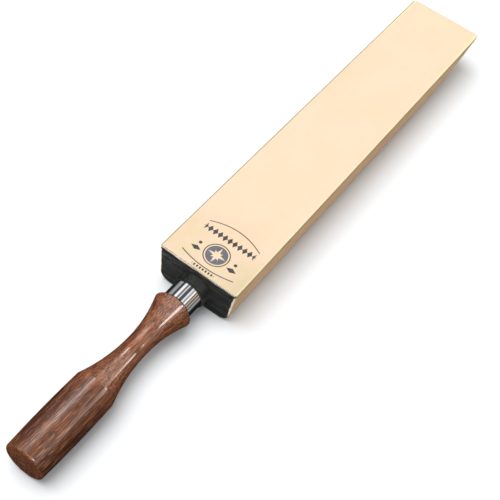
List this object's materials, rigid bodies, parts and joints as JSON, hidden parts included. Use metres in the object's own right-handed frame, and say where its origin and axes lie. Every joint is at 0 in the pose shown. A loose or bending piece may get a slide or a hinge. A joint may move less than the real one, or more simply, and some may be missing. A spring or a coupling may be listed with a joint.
{
  "type": "leather paddle strop",
  "caption": "Hardwood paddle faced with smooth strop leather, with a turned handle and a plated ferrule, for honing the edges of carving tools.",
  "frame": {"origin": "centre of the bottom of the bounding box, on the plane of the board's flat back", "axes": "+X along the strop from the handle towards the tip, +Y to the left seen from the handle, +Z out of the leather face"},
  "size_m": [0.4176, 0.0508, 0.0274],
  "materials": {
    "board_wood": "bare sanded hardwood, near end painted black",
    "cement": "dried contact cement",
    "strop_leather": "smooth undyed vegetable-tanned leather",
    "plated_ferrule": "polished plating",
    "handle_wood": "turned red-brown hardwood, glossy varnish",
    "insert_brass": "as machined",
    "steel_fastener": "zinc plated"
  },
  "bodies": {
    "root": {"paddle_board": "board_wood", "cement_layer": "cement", "leather_face": "strop_leather", "ferrule": "plated_ferrule", "handle": "handle_wood", "butt_plug": "handle_wood", "board_insert": "insert_brass", "tie_rod": "steel_fastener", "butt_washer": "steel_fastener", "butt_nut": "steel_fastener"}
  },
  "joints": []
}
